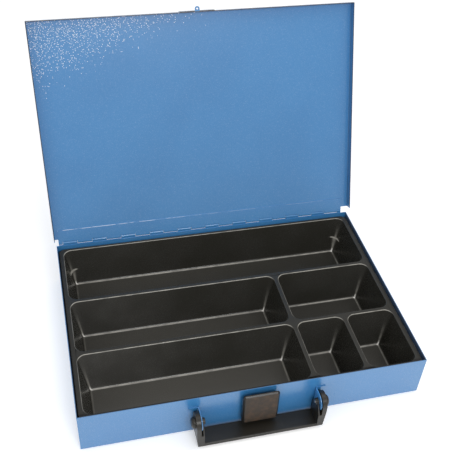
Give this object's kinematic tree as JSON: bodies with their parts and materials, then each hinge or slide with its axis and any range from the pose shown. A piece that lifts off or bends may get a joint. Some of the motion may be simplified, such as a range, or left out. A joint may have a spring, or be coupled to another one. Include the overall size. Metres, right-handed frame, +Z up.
{
  "type": "hinged steel tool box with compartment insert",
  "caption": "Shallow steel assortment box with a hinged lid, a formed compartment insert, a folding front handle and a snap latch.",
  "frame": {"origin": "centre of the case's underside, on the surface it stands on", "axes": "+X across the box to the right seen from the front, +Y to the hinge at the back, +Z up; the handle and latch face -Y"},
  "size_m": [0.3398, 0.3362, 0.2777],
  "materials": {
    "blue_paint": "semi-gloss mid-blue powder coat with a fine structure",
    "steel": "bright zinc-plated steel",
    "formed_plastic": "black vacuum-formed sheet with a soft sheen",
    "moulded_plastic": "black moulded plastic, satin",
    "latch_plastic": "dark warm-grey moulded plastic with a matte face"
  },
  "bodies": {
    "case": {"case_shell": "blue_paint", "insert_tray": "formed_plastic", "hinge_case_leaf": "blue_paint", "hinge_pin": "steel", "handle_ear_left": "blue_paint", "handle_ear_right": "blue_paint", "latch_housing": "moulded_plastic", "latch_pin": "steel", "latch_spring": "steel", "latch_rivet_left": "steel", "latch_rivet_right": "steel"},
    "lid": {"lid_shell": "blue_paint", "lid_keeper": "blue_paint", "hinge_lid_leaf": "blue_paint"},
    "handle": {"handle": "moulded_plastic", "handle_pin_left": "steel", "handle_pin_right": "steel"},
    "latch": {"latch_lever": "latch_plastic"}
  },
  "joints": [
    {"name": "lid_hinge", "type": "hinge", "parent": "case", "child": "lid", "pos_m": [0, 0.11685, 0.05105], "axis": [1, 0, 0], "range_deg": [0, 111]},
    {"name": "handle_pivot", "type": "hinge", "parent": "case", "child": "handle", "pos_m": [0, -0.1264, 0.029], "axis": [-1, 0, 0], "range_deg": [-1.5, 120]},
    {"name": "latch_pivot", "type": "hinge", "parent": "case", "child": "latch", "pos_m": [0, -0.1196, 0.017], "axis": [1, 0, 0], "range_deg": [0, 20], "stiffness_Nm_per_rad": 0.1, "springref_deg": -20.05, "deforming": ["latch_spring"]}
  ]
}
